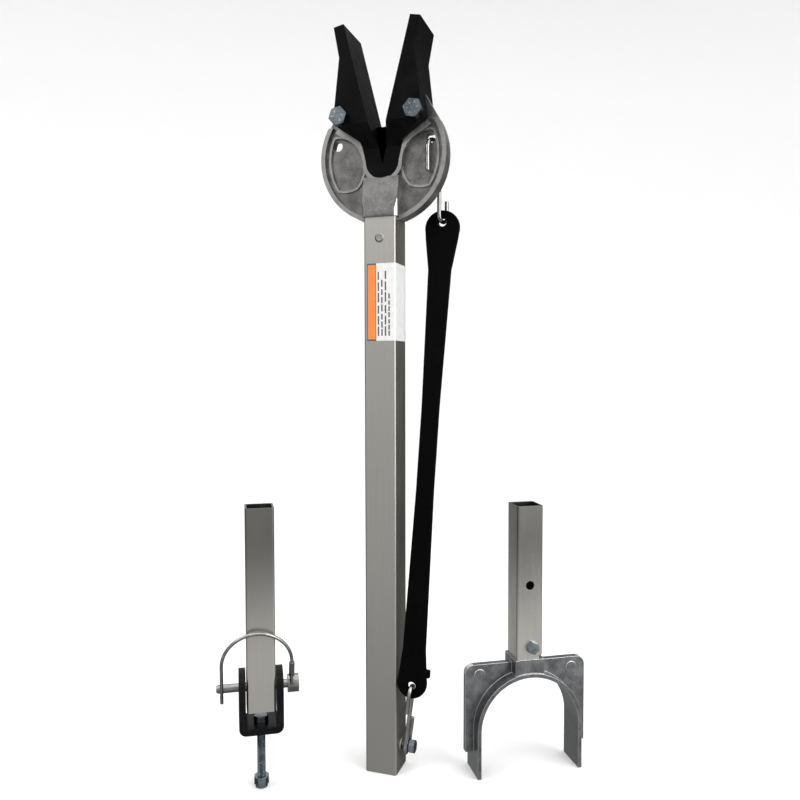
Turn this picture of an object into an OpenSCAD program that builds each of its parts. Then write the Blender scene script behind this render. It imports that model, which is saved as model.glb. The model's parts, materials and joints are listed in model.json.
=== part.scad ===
// Outboard motor support bar with a V head, a rubber strap on S hooks, and two lower end fittings:
// a frame bracket with a quick-release pin, and a yoke that fits round a keel roller.
// The origin is the centre of the outer tube's open lower end, +Z runs up the tube to the head.

/* [Main tube] */
// Outside width of the square outer tube
tube_w = 38.1; // [36:0.1:40]
// Wall of both sizes of tube
tube_wall = 2.1; // [1.6:0.1:2.4]
// Length of the outer tube
tube_len = 646; // [560:1:700]
// Outside radius of the tube corners
tube_corner = 2.4; // [1:0.1:4]
// Height of the set bolt above the open end
set_bolt_z = 28.1; // [26:0.1:34]

/* [Head casting] */
// Radius of the round head
head_r = 76; // [74:0.5:80]
// Height of the head's centre above the end of the tube
head_rise = 70; // [68:0.5:74]
// Depth of the rim round the head
rim_depth = 18; // [14:1:22]
// Width of the rim seen from the front
rim_w = 5; // [4:0.5:6]
// Thickness of the web inside the rim
web_t = 9; // [8:0.5:11]
// Radius of the hole for the strap's hook
hook_hole_r = 5.6; // [5.5:0.1:6]

/* [Rubber V block] */
// Depth of the jaws from front to back
jaw_depth = 55; // [48:1:60]
// Half of the gap between the tips of the jaws
jaw_tip_x = 39.4; // [34:0.1:44]
// Width of the top of each jaw
jaw_tip_w = 12; // [9:0.5:14]
// Height of the jaw tips above the end of the tube
jaw_rise = 216; // [200:1:230]
// Sideways place of the jaw bolts
jaw_bolt_x = 44.2; // [43:0.1:46]
// Height of the jaw bolts above the end of the tube
jaw_bolt_rise = 112; // [110:1:116]

/* [Strap and hooks] */
// Diameter of the hook wire
wire_d = 4.8; // [4:0.1:5]
// Thickness of the strap
strap_t = 6.5; // [5:0.1:7]
// Radius of the strap's upper end
strap_top_r = 20.4; // [17:0.1:22]
// Radius of the strap's lower end
strap_low_r = 17.5; // [15:0.1:18]
// Half width of the strap at its middle
strap_mid = 10.4; // [9:0.1:12]

/* [Fittings] */
// Outside width of the square tube of each fitting
inner_w = 31.75; // [30:0.05:33]
// Turn of both fittings about their own upright axes
fitting_yaw = 31; // [0:1:45]
// Place of the frame bracket beside the bar
bracket_at = [-120, -86]; // [-200:1:200]
// Place of the roller yoke beside the bar
yoke_at = [156, 52]; // [-200:1:200]
// Height of the bracket tube's top
bracket_top = 320; // [260:1:420]
// Height of the yoke tube's top
yoke_top = 314; // [260:1:420]

/* [Frame bracket] */
// Outside width of the bracket
bracket_w = 49; // [48.5:0.5:52]
// Depth of the bracket
bracket_depth = 42; // [34:1:44]
// Wall of the bracket
bracket_wall = 7.5; // [6:0.5:7.5]
// Height of the bracket's underside
bracket_z = 68; // [60:0.5:70]
// Height of the lock pin
pin_z = 115.5; // [112:0.5:120]
// Diameter of the lock pin
pin_d = 9.52; // [8:0.01:10]
// Diameter of the bail's wire
bail_d = 3.8; // [3:0.1:4]

/* [Roller yoke] */
// Inside radius of the arch
yoke_r = 60; // [50:1:62]
// Outside width of the yoke
yoke_w = 149; // [140:1:152]
// Depth of the arch's liner
yoke_depth = 40; // [36:1:50]
// Thickness of the liner
liner_t = 4.5; // [3.5:0.5:5]
// Height of the yoke's shoulder, where its tube starts
yoke_z = 134; // [130:1:145]

/* [Hidden] */
$fn = 64;
far = 400;               // reaches past anything that it cuts
bore_gap = 0.08;         // radial clearance of a running fit
fit_gap = 0.3;           // gap between pieces that lie side by side

jaw_r = 6.35;            // 1/2 inch bolts
jaw_af = 19.05;
jaw_head = 8.2;
jaw_nut_h = 11;
jaw_collar = 3.2;
bolt_r = 4.76;           // 3/8 inch bolts
bolt_af = 14.3;
bolt_head = 6.3;
nut_h = 8.3;
collar_h = 2.7;          // the lock nut's collar, which holds its nylon ring
small_r = 3.97;          // 5/16 inch bolt of the yoke
small_af = 12.7;
small_head = 5.3;
small_nut_h = 6.7;

head_z = tube_len + head_rise;
spigot_len = 46;
notch_r = 20;                              // bottom of the head's notch
notch_z = head_z - 5.5;
shoulder = [25.4, head_z + 17];            // where the notch turns out to the side
shoulder_end = [53, head_z + 36];
v_z = head_z - 8;                          // foot of the V
ear_from = [head_r * cos(29.5), head_z + head_r * sin(29.5)];
ear_tip = [50, head_z + 66];
lip_w = 4.5;
panel_out = [58, head_z - 9, 37];          // circle that rounds the inner side of each side panel
jaw_bolt_z = tube_len + jaw_bolt_rise;
hook_hole = [56.6, head_z + 17];

wire_r = wire_d / 2;
eye_r = 4.8;                               // holes in the strap
eye_shift = 0.6;                           // how far the wire sits off the middle of the hole
stem = [61.5, 13];                         // upright part of the upper hook
upper_bend = 11.75;
hook_yaw = 18;                             // turn of the upper hook away from the Y direction
upper_bend_z = hook_hole[1] - 1 - upper_bend;
loop_bend = 8;
loop_z = tube_len + 4.4;
eye_top = [stem[0] + loop_bend * sin(hook_yaw), stem[1] + loop_bend * cos(hook_yaw),
           loop_z - loop_bend - eye_shift];
lower_at = [26, 0, set_bolt_z];            // middle of the lower hook's bottom bend
lower_lean = 8;
lower_stem = 72;
eye_low = [lower_at[0] + (lower_stem + loop_bend + eye_shift) * sin(lower_lean), -2 * loop_bend,
           lower_at[2] + (lower_stem + loop_bend + eye_shift) * cos(lower_lean)];
strap_run = eye_top - eye_low;
strap_len = norm(strap_run);
eye_margin = 14;                           // rubber beyond each hole

set_head_x = 29.9;
pin_r = pin_d / 2;
pin_tip = -49;
pin_head_x = 30;
pin_head_t = 12.5;
pin_head_r = 10;
tube_end_z = pin_z - 24.5;
washer_t = 1.6;
bail_r = bail_d / 2;
bail_axis = [34, -7.4];                    // the bail's leg where it goes through the pin's head
bail_bend = 38.5;
bail_up = 31;                              // from the pin to the middle of the bail's bend
bail_below = 15.5;                         // of the other leg, past the end of the pin
bail_tilt = 14;
yoke_pin_z = 221;
yoke_bolt_at = [3, 148];
plate_top = yoke_z - 6;
arch_z = 53.5;

// ---- shared shapes ----

// The right half of an outline, from the bottom up, joined to its own mirror image.
function both(half) = concat(half, [for (i = [len(half) - 1:-1:0]) [-half[i][0], half[i][1]]]);

module rounded_square(w, r) {
    square([w - 2 * r, w], center = true);
    square([w, w - 2 * r], center = true);
    for (x = [-1, 1], y = [-1, 1])
        translate([x * (w / 2 - r), y * (w / 2 - r)]) circle(r);
}

module square_tube(w, wall, low, high) {
    translate([0, 0, low]) linear_extrude(high - low) difference() {
        rounded_square(w, tube_corner);
        rounded_square(w - 2 * wall, 0.8);
    }
}

// An outline drawn in X and Z, made a plate that is t thick about y = 0.
module upright(t) {
    rotate([90, 0, 0]) linear_extrude(t, center = true) children();
}

// A rod along Y from y0 to y1.
module rod_y(x, z, r, y0, y1) {
    translate([x, y0, z]) rotate([-90, 0, 0]) cylinder(r = r, h = y1 - y0);
}

// A rod along X from x0 to x1.
module rod_x(y, z, r, x0, x1) {
    translate([x0, y, z]) rotate([0, 90, 0]) cylinder(r = r, h = x1 - x0);
}

module hex(af, h) {
    cylinder(d = af / cos(30), h = h, $fn = 6);
}

// A hexagon head with a round bearing face, its shank pointing down from z = 0.
module hex_bolt(r, af, head, length) {
    translate([0, 0, 0.4]) hex(af, head - 0.4);
    cylinder(d = af, h = 0.4);
    translate([0, 0, -length]) cylinder(r = r, h = length);
}

// A nylon insert lock nut that stands on z = 0, its collar on top.
module lock_nut(r, af, h, collar) {
    difference() {
        union() {
            hex(af, h);
            cylinder(d = af - 0.6, h = h + collar);
        }
        translate([0, 0, -1]) cylinder(r = r + bore_gap, h = h + collar + 2);
        translate([0, 0, h]) cylinder(r = r + 1.6, h = collar - 0.5);
    }
}

module nut_insert(r, h, collar) {
    translate([0, 0, h]) difference() {
        cylinder(r = r + 1.6, h = collar - 0.5);
        translate([0, 0, -1]) cylinder(r = r + bore_gap, h = collar + 1);
    }
}

// Half a ring of wire standing on the origin, its two ends level, turned yaw from the Y direction.
// Half a turn of wire that starts and ends level, upwards in the plane of Y and Z.
module wire_bend(bend, r) {
    rotate([0, 0, 90]) rotate([90, 0, 0])
        rotate_extrude(angle = 180) translate([bend, 0]) circle(r, $fn = 32);
}

module mirrored() {
    children();
    mirror([1, 0, 0]) children();
}

module at_bracket() {
    translate([bracket_at[0], bracket_at[1], 0]) rotate([0, 0, fitting_yaw]) children();
}

module at_yoke() {
    translate([yoke_at[0], yoke_at[1], 0]) rotate([0, 0, fitting_yaw]) children();
}

// ---- main bar ----

module outer_tube() {
    color("silver") difference() {
        square_tube(tube_w, tube_wall, 0, tube_len);
        rod_x(0, set_bolt_z, 6.1, 0, far);
        rod_y(0, tube_len - 24, 3.3, -far, 0);
    }
}

// The round outline of the head with its two ears, without the notch.
module head_outline() {
    intersection() {
        translate([0, head_z]) circle(head_r, $fn = 128);
        translate([-far, head_z - far]) square([2 * far, far + ear_from[1] - head_z]);
    }
    mirrored() polygon([[30, head_z], [ear_from[0] - 6, head_z], ear_from, ear_tip,
                        [ear_tip[0] - 18, ear_tip[1]]]);
}

// The notch that the rubber block stands in, widened by grow.
module notch_outline(grow) {
    translate([0, notch_z]) circle(notch_r + grow);
    polygon([[-notch_r - grow, notch_z], [notch_r + grow, notch_z], [shoulder[0] + grow, shoulder[1]],
             [31, ear_tip[1] + 20], [-31, ear_tip[1] + 20], [-shoulder[0] - grow, shoulder[1]]]);
}

// One lens-shaped side panel, drawn in by inset from the rim.
module side_panel(inset) {
    intersection() {
        translate([0, head_z]) circle(head_r - 9 - inset, $fn = 128);
        translate([panel_out[0], panel_out[1]]) circle(panel_out[2] - inset);
        translate([46, head_z - 4]) circle(34 - inset);
    }
}

module head_rim() {
    difference() {
        head_outline();
        intersection() {
            translate([0, head_z]) circle(head_r - rim_w, $fn = 128);
            translate([-far, head_z - far]) square([2 * far, far + ear_from[1] - head_z]);
        }
        translate([-far, ear_from[1]]) square([far + ear_tip[0] - 12, far]);
        mirror([1, 0]) translate([-far, ear_from[1]]) square([far + ear_tip[0] - 12, far]);
        mirrored() polygon([[30, head_z], [ear_from[0] - rim_w, ear_from[1] - 2.4],
                            [ear_tip[0] - rim_w, ear_tip[1] - 2.4], [ear_tip[0] - 30, ear_tip[1]],
                            [20, ear_from[1]]]);
    }
}

// The raised edge that follows the foot of the rubber block.
module notch_lip() {
    difference() {
        translate([0, notch_z]) circle(notch_r + lip_w);
        translate([-far, notch_z]) square([2 * far, far]);
        notch_outline(0);
    }
    mirrored() polygon([[notch_r, notch_z], [shoulder[0], shoulder[1]], shoulder_end,
                        [shoulder_end[0] + 5, shoulder_end[1] - 5],
                        [shoulder[0] + 4, shoulder[1] - lip_w - 1], [notch_r + lip_w, notch_z]]);
}

module head_block() {
    half = tube_w / 2 + 2;
    rotate([90, 0, 90]) linear_extrude(2 * half, center = true)
        polygon([[-half, tube_len], [half, tube_len], [half, tube_len + 7], [13, tube_len + 46],
                 [-13, tube_len + 46], [-half, tube_len + 7]]);
}

module head_spigot() {
    side = tube_w - 2 * tube_wall - 0.5;
    translate([0, 0, tube_len - spigot_len]) linear_extrude(spigot_len + 1)
        rounded_square(side, 2);
}

module head_casting() {
    color("darkgray") difference() {
        union() {
            difference() {
                upright(web_t) head_outline();
                translate([-tube_w / 2 - 0.1, -tube_w, 0]) cube([tube_w + 0.2, 2 * tube_w, tube_len]);
            }
            difference() {
                upright(rim_depth) head_rim();
                translate([-tube_w / 2 - 0.1, -tube_w, 0]) cube([tube_w + 0.2, 2 * tube_w, tube_len]);
            }
            upright(rim_depth) notch_lip();
            upright(web_t + 3) mirrored() difference() {
                side_panel(0);
                side_panel(2.5);
            }
            head_block();
            head_spigot();
        }
        upright(far) notch_outline(0);
        for (y = [-1, 1]) translate([0, y * (web_t / 2 + 3), 0])
            upright(8.4) mirrored() side_panel(2.5);
        for (x = [-1, 1]) {
            rod_y(x * hook_hole[0], hook_hole[1], hook_hole_r, -far, far);
            rod_y(x * jaw_bolt_x, jaw_bolt_z, jaw_r + bore_gap, -far, far);
        }
        rod_y(0, tube_len - 24, 3.3, -far, 0);
    }
}

// Front outline of the rubber block, with the V that the load rests in.
module block_outline() {
    tip_z = tube_len + jaw_rise;
    lean = jaw_tip_x / (tip_z - v_z);
    difference() {
        union() {
            translate([0, notch_z]) circle(notch_r);
            polygon(both([[notch_r, notch_z], shoulder, shoulder_end, [shoulder_end[0], head_z + 42],
                          [50.5, head_z + 60], [45, tip_z - 37],
                          [jaw_tip_x + jaw_tip_w, tip_z - 2.5], [jaw_tip_x, tip_z]]));
        }
        polygon([[0, v_z], [lean * far, v_z + far], [-lean * far, v_z + far]]);
    }
}

// Side outline of the rubber block: deep at the jaws, drawn in where it stands in the notch.
module block_side() {
    half = jaw_depth / 2;
    polygon([[-8, head_z - 40], [8, head_z - 40], [8, head_z + 10], [half, head_z + 34],
             [half, far + head_z], [-half, far + head_z], [-half, head_z + 34], [-8, head_z + 10]]);
}

module v_block() {
    color([0.07, 0.07, 0.08]) difference() {
        intersection() {
            upright(jaw_depth) block_outline();
            rotate([90, 0, 90]) linear_extrude(far, center = true) block_side();
        }
        difference() {
            upright(web_t) head_outline();
            upright(far) notch_outline(-fit_gap);
        }
        upright(rim_depth) head_rim();
        for (x = [-1, 1])
            rod_y(x * jaw_bolt_x, jaw_bolt_z, jaw_r + bore_gap, -far, far);
    }
}

module jaw_bolts() {
    half = jaw_depth / 2;
    color("lightsteelblue") for (x = [-1, 1])
        translate([x * jaw_bolt_x, -half, jaw_bolt_z]) rotate([90, 11 * x, 0])
            hex_bolt(jaw_r, jaw_af, jaw_head, jaw_depth + jaw_nut_h + jaw_collar + 1);
}

module on_jaw_bolts() {
    for (x = [-1, 1])
        translate([x * jaw_bolt_x, jaw_depth / 2, jaw_bolt_z]) rotate([-90, 0, 0]) children();
}

module jaw_nuts() {
    color("lightsteelblue") on_jaw_bolts() lock_nut(jaw_r, jaw_af, jaw_nut_h, jaw_collar);
}

module jaw_nut_inserts() {
    color("white") on_jaw_bolts() nut_insert(jaw_r, jaw_nut_h, jaw_collar);
}

module head_rivet() {
    color("silver") translate([0, -tube_w / 2, tube_len - 24]) rotate([90, 0, 0]) {
        cylinder(r1 = 5.6, r2 = 3.6, h = 1.3);
        translate([0, 0, -8]) cylinder(r = 3.2, h = 8);
    }
}

module label() {
    skin = 0.25;
    color("white") translate([0, 0, tube_len - 141]) linear_extrude(88) intersection() {
        difference() {
            rounded_square(tube_w + 2 * skin, tube_corner + skin);
            rounded_square(tube_w, tube_corner);
        }
        translate([-15, -tube_w]) square([tube_w, tube_w + 15]);
    }
}

// ---- strap and hooks ----

module upper_s_hook() {
    color("lightgray") translate([stem[0], stem[1], 0]) rotate([0, 0, -hook_yaw]) {
        translate([0, -2 * upper_bend, upper_bend_z - 25]) cylinder(r = wire_r, h = 25, $fn = 32);
        translate([0, -upper_bend, upper_bend_z]) wire_bend(upper_bend, wire_r);
        translate([0, 0, loop_z]) cylinder(r = wire_r, h = upper_bend_z - loop_z, $fn = 32);
        translate([0, loop_bend, loop_z]) mirror([0, 0, 1]) wire_bend(loop_bend, wire_r);
        translate([0, 2 * loop_bend, loop_z]) cylinder(r = wire_r, h = 17, $fn = 32);
    }
}

// The strap laid out flat, with its lower hole at the origin.
module strap_outline() {
    low_z = strap_low_r - eye_margin;
    high_z = strap_len - strap_top_r + eye_margin;
    polygon(both([[strap_low_r - 0.1, low_z], [strap_low_r * 0.93, low_z + 11], [13.5, 42],
                  [12.6, 100], [strap_mid, strap_len * 0.42], [strap_mid, strap_len * 0.6],
                  [12.6, strap_len - 100], [13.5, strap_len - 55],
                  [strap_top_r * 0.93, high_z - 13], [strap_top_r - 0.1, high_z]]));
    translate([0, low_z]) circle(strap_low_r);
    translate([0, high_z]) circle(strap_top_r);
    translate([0, 12]) square([strap_low_r + 3, 9]);
}

module strap() {
    color([0.05, 0.05, 0.055]) translate(eye_low)
        rotate([-asin(strap_run[1] / strap_len), atan2(strap_run[0], strap_run[2]), 0])
            difference() {
                upright(strap_t) strap_outline();
                rod_y(0, 0, eye_r, -far, far);
                rod_y(0, strap_len, eye_r, -far, far);
            }
}

module lower_s_hook() {
    color("lightgray") translate(lower_at) rotate([0, lower_lean, 0]) {
        mirror([0, 0, 1]) wire_bend(loop_bend, wire_r);
        translate([0, loop_bend, 0]) cylinder(r = wire_r, h = 32, $fn = 32);
        translate([0, -loop_bend, 0]) cylinder(r = wire_r, h = lower_stem, $fn = 32);
        translate([0, -2 * loop_bend, lower_stem]) wire_bend(loop_bend, wire_r);
        translate([0, -3 * loop_bend, lower_stem - 22]) cylinder(r = wire_r, h = 22, $fn = 32);
    }
}

module set_bolt() {
    color("lightsteelblue") translate([set_head_x, 0, set_bolt_z]) rotate([0, 90, 0])
        hex_bolt(bolt_r, bolt_af, bolt_head, set_head_x - tube_w / 2 + tube_wall + 0.2);
}

module set_bolt_insert() {
    color("goldenrod") difference() {
        union() {
            rod_x(0, set_bolt_z, 6, tube_w / 2 - tube_wall - 0.2, tube_w / 2);
            rod_x(0, set_bolt_z, 7.4, tube_w / 2, tube_w / 2 + 1);
        }
        rod_x(0, set_bolt_z, bolt_r + bore_gap, 0, far);
    }
}

// ---- frame bracket fitting ----

module bracket_tube() {
    color("silver") at_bracket() difference() {
        square_tube(inner_w, tube_wall, tube_end_z, bracket_top);
        rod_x(0, pin_z, pin_r + bore_gap, -far, far);
    }
}

module pivot_bracket() {
    inside = bracket_w - 2 * bracket_wall;
    color([0.06, 0.06, 0.07]) at_bracket() difference() {
        intersection() {
            upright(bracket_depth) difference() {
                translate([0, bracket_z + bracket_w / 2]) {
                    rounded_square(bracket_w, 8);
                    translate([-bracket_w / 2, 0]) square([bracket_w, far]);
                }
                translate([0, bracket_z + bracket_wall + inside / 2]) {
                    rounded_square(inside, 3);
                    translate([-inside / 2, 0]) square([inside, far]);
                }
            }
            rotate([90, 0, 90]) linear_extrude(far, center = true) {
                translate([-bracket_depth / 2, 0]) square([bracket_depth, pin_z]);
                translate([0, pin_z]) circle(bracket_depth / 2);
            }
        }
        rod_x(0, pin_z, pin_r + bore_gap, -far, far);
        cylinder(r = bolt_r + bore_gap, h = far);
    }
}

module bracket_bolt() {
    floor_z = bracket_z + bracket_wall;
    color("lightsteelblue") at_bracket() translate([0, 0, floor_z])
        hex_bolt(bolt_r, bolt_af, bolt_head, floor_z - 0.4);
}

module bracket_washer() {
    color("silver") at_bracket() translate([0, 0, nut_h + collar_h]) difference() {
        cylinder(r = 8.3, h = washer_t);
        translate([0, 0, -1]) cylinder(r = bolt_r + bore_gap, h = washer_t + 2);
    }
}

// The lock nut hangs under its washer with the collar down.
module hung_nut() {
    at_bracket() translate([0, 0, nut_h + collar_h]) rotate([180, 0, 0]) children();
}

module bracket_nut() {
    color("lightsteelblue") hung_nut() lock_nut(bolt_r, bolt_af, nut_h, collar_h);
}

module bracket_nut_insert() {
    color("white") hung_nut() nut_insert(bolt_r, nut_h, collar_h);
}

module lock_pin() {
    color("lightgray") at_bracket() difference() {
        union() {
            rod_x(0, pin_z, pin_r, pin_tip + 1.5, pin_head_x);
            rod_x(0, pin_z, pin_r - 1, pin_tip, pin_tip + 1.5);
            rod_x(0, pin_z, pin_head_r, pin_head_x, pin_head_x + pin_head_t);
        }
        translate([bail_axis[0], bail_axis[1], pin_z]) rotate([bail_tilt, 0, 0])
            cylinder(r = bail_r + bore_gap, h = far, center = true);
    }
}

module at_bail() {
    at_bracket() translate([bail_axis[0], bail_axis[1], pin_z]) rotate([bail_tilt, 0, 0]) children();
}

module wire_bail() {
    color("gainsboro") at_bail() {
        translate([0, 0, -7]) cylinder(r = bail_r, h = bail_up + 7, $fn = 32);
        translate([-bail_bend, 0, bail_up]) rotate([0, 0, -90]) wire_bend(bail_bend, bail_r);
        translate([-2 * bail_bend, 0, -bail_below])
            cylinder(r = bail_r, h = bail_up + bail_below, $fn = 32);
    }
}

module bail_ferrule() {
    color("silver") at_bail() translate([0, 0, 13]) difference() {
        cylinder(r = 3.1, h = bail_up - 13);
        translate([0, 0, -1]) cylinder(r = bail_r + 0.02, h = bail_up);
    }
}

// ---- roller yoke fitting ----

module yoke_tube() {
    color("silver") at_yoke() difference() {
        square_tube(inner_w, tube_wall, yoke_z, yoke_top);
        rod_y(0, yoke_pin_z, 5.16, -far, far);
        rod_y(yoke_bolt_at[0], yoke_bolt_at[1], small_r + bore_gap, -far, far);
        translate([inner_w / 2 - 4.5, -inner_w, yoke_z - 1]) cube([far, inner_w, 5]);
    }
}

module arch(r, low) {
    intersection() {
        translate([0, arch_z]) circle(r, $fn = 128);
        translate([-r, arch_z - 1]) square([2 * r, r + 2]);
    }
    translate([-r, low]) square([2 * r, arch_z - low]);
}

module yoke_plate() {
    half = yoke_w / 2;
    corner = 10;
    translate([-half, 26]) square([yoke_w, plate_top - corner - 26]);
    translate([-half + corner, 26]) square([yoke_w - 2 * corner, plate_top - 26]);
    for (x = [-1, 1]) translate([x * (half - corner), plate_top - corner]) circle(corner);
}

module roller_yoke() {
    boss = inner_w / 2 + 2;
    boss_z = arch_z + yoke_r - 6;
    color([0.45, 0.46, 0.46]) at_yoke() difference() {
        union() {
            upright(yoke_depth) arch(yoke_r + liner_t, 0);
            upright(8) yoke_plate();
            translate([-boss, -boss, boss_z]) cube([2 * boss, 2 * boss, yoke_z - boss_z]);
            translate([0, 0, yoke_z - 1]) linear_extrude(44)
                rounded_square(inner_w - 2 * tube_wall - 0.5, 2);
            for (x = [-1, 1]) rod_y(x * 57.5, plate_top - 12, 6.3, -4.9, 0);
        }
        upright(far) arch(yoke_r, -1);
        rod_y(yoke_bolt_at[0], yoke_bolt_at[1], small_r + bore_gap, -far, far);
    }
}

module yoke_bolt() {
    half = inner_w / 2;
    color("lightsteelblue") at_yoke() translate([yoke_bolt_at[0], -half, yoke_bolt_at[1]])
        rotate([90, 20, 0]) hex_bolt(small_r, small_af, small_head, inner_w + small_nut_h + 4);
}

module on_yoke_bolt() {
    at_yoke() translate([yoke_bolt_at[0], inner_w / 2, yoke_bolt_at[1]]) rotate([-90, 0, 0]) children();
}

module yoke_nut() {
    color("lightsteelblue") on_yoke_bolt() lock_nut(small_r, small_af, small_nut_h, 2.4);
}

module yoke_nut_insert() {
    color("white") on_yoke_bolt() nut_insert(small_r, small_nut_h, 2.4);
}

outer_tube();
head_casting();
v_block();
jaw_bolts();
jaw_nuts();
jaw_nut_inserts();
head_rivet();
label();
upper_s_hook();
strap();
lower_s_hook();
set_bolt();
set_bolt_insert();
bracket_tube();
pivot_bracket();
bracket_bolt();
bracket_washer();
bracket_nut();
bracket_nut_insert();
lock_pin();
wire_bail();
bail_ferrule();
yoke_tube();
roller_yoke();
yoke_bolt();
yoke_nut();
yoke_nut_insert();
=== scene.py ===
import json
import math

import bmesh
import bpy
from bpy.props import FloatProperty, FloatVectorProperty, IntProperty, PointerProperty
from bpy.types import Operator, Panel, PropertyGroup
from mathutils import Matrix, Vector


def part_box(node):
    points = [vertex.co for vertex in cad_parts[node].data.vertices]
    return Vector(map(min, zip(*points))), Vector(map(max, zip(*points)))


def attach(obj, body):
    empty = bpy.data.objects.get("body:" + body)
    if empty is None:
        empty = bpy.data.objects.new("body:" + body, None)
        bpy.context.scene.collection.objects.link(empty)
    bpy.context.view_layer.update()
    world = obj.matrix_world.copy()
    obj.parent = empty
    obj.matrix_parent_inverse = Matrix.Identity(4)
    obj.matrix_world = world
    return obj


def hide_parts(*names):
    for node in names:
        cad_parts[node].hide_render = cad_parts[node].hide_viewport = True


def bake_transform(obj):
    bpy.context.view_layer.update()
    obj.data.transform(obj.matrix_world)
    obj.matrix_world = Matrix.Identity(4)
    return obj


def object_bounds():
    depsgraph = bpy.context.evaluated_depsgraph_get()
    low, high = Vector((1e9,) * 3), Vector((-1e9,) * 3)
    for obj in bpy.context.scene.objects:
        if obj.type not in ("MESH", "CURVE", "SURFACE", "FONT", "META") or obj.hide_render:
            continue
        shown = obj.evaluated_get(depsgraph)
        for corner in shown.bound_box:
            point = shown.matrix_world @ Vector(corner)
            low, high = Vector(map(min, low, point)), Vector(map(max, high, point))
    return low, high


bl_info = {
    "name": "Outboard Support Bar",
    "version": (1, 0, 0),
    "blender": (4, 2, 0),
    "location": "3D View > Sidebar > Support Bar",
    "description": "Finished pieces of an outboard motor support bar and its two lower fittings",
    "category": "Object",
}

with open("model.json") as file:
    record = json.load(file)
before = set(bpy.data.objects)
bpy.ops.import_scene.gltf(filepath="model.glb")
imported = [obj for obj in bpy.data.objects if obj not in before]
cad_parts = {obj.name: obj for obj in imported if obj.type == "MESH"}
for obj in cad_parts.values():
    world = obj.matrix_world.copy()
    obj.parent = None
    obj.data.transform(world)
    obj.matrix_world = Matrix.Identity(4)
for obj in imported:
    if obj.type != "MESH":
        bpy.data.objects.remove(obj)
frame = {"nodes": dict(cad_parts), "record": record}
CAD_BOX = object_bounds()
NODES = frame["nodes"]
BODY_OF = {n: b for b, names in frame["record"]["behaviour"]["bodies"].items() for n in names}
BAR_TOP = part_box("outer_tube")[1].z
MM = 0.001

JAW_BOLT_RADIUS = 6.35 * MM         # 1/2 inch
CLAMP_BOLT_RADIUS = 4.76 * MM       # 3/8 inch
JAW_THREAD_LENGTH = 12 * MM         # measured back from the seat of the jaw nuts
HEAD_HEIGHT = 6.6 * MM              # from the top of a bolt's head to where its thread can start
GRADE_DASH = (3.0 * MM, 0.9 * MM, 0.3 * MM)
HEAD_BLOCK_HALF = 16 * MM           # half width of the flat front of the head's block
HEAD_BLOCK_FOOT = 12 * MM           # height of the block's upright corners
HEAD_WEB_HALF = 5 * MM              # the web's faces lie within this depth
HEAD_HIGHLIGHT_FROM = 12 * MM           # painted highlight on the edges starts this far from the middle
STRAP_STEPS = 26


# ---- settings ----

class BarEdges(PropertyGroup):
    """How far the edges of each kind of piece are rounded"""

    tube: FloatProperty(name="Tubes", description="Rounding of the sawn tube ends",
                        default=0.35 * MM, min=0.0, max=1 * MM, subtype="DISTANCE", unit="LENGTH")
    head: FloatProperty(name="Head casting", description="Rounding of the head's cast edges",
                        default=0.9 * MM, min=0.0, max=2 * MM, subtype="DISTANCE", unit="LENGTH")
    rubber: FloatProperty(name="Rubber block", description="Rounding of the V block's edges",
                          default=1.5 * MM, min=0.0, max=3 * MM, subtype="DISTANCE", unit="LENGTH")
    strap: FloatProperty(name="Strap", description="Rounding of the strap's edges",
                         default=1.3 * MM, min=0.0, max=3 * MM, subtype="DISTANCE", unit="LENGTH")
    wire: FloatProperty(name="Wire ends", description="Rounding of the cut ends of hooks and bail",
                        default=0.7 * MM, min=0.0, max=1.5 * MM, subtype="DISTANCE", unit="LENGTH")
    plate: FloatProperty(name="Frame bracket", description="Rounding of the bracket's plate edges",
                         default=0.8 * MM, min=0.0, max=2 * MM, subtype="DISTANCE", unit="LENGTH")
    yoke: FloatProperty(name="Roller yoke", description="Rounding of the yoke's cast edges",
                        default=1.3 * MM, min=0.0, max=2 * MM, subtype="DISTANCE", unit="LENGTH")
    bolt: FloatProperty(name="Bolts and nuts", description="Rounding of bolt heads, nuts and washers",
                        default=0.25 * MM, min=0.0, max=1 * MM, subtype="DISTANCE", unit="LENGTH")


class BarHardware(PropertyGroup):
    """Sizes of the bolts that the frame's boxes don't give"""

    large_pitch: FloatProperty(name="Large pitch", description="Thread pitch of the 3/8 inch bolts",
                               default=1.5875 * MM, min=0.8 * MM, max=2 * MM,
                               subtype="DISTANCE", unit="LENGTH")
    jaw_pitch: FloatProperty(name="Jaw pitch", description="Thread pitch of the 1/2 inch jaw bolts",
                             default=1.9538 * MM, min=0.8 * MM, max=3 * MM,
                             subtype="DISTANCE", unit="LENGTH")
    turns: IntProperty(name="Round steps", description="Steps round each thread", default=32, min=12, max=64)


class BarColours(PropertyGroup):
    """Base colours of the finishes"""

    aluminium: FloatVectorProperty(name="Extruded aluminium", description="Colour of the tubes",
                                   default=(0.50, 0.485, 0.455), size=3, min=0, max=1, subtype="COLOR")
    casting: FloatVectorProperty(name="Cast aluminium", description="Colour of the head's cast skin",
                                 default=(0.34, 0.335, 0.325), size=3, min=0, max=1, subtype="COLOR")
    yoke: FloatVectorProperty(name="Dark casting", description="Colour of the yoke's cast skin",
                              default=(0.25, 0.255, 0.26), size=3, min=0, max=1, subtype="COLOR")
    rubber: FloatVectorProperty(name="Rubber", description="Colour of the V block and strap",
                                default=(0.002, 0.002, 0.0023), size=3, min=0, max=1, subtype="COLOR")
    zinc: FloatVectorProperty(name="Zinc plating", description="Colour of bolts and nuts",
                              default=(0.13, 0.147, 0.158), size=3, min=0, max=1, subtype="COLOR")
    band: FloatVectorProperty(name="Label band", description="Colour of the label's printed band",
                              default=(0.80, 0.20, 0.03), size=3, min=0, max=1, subtype="COLOR")


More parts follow.
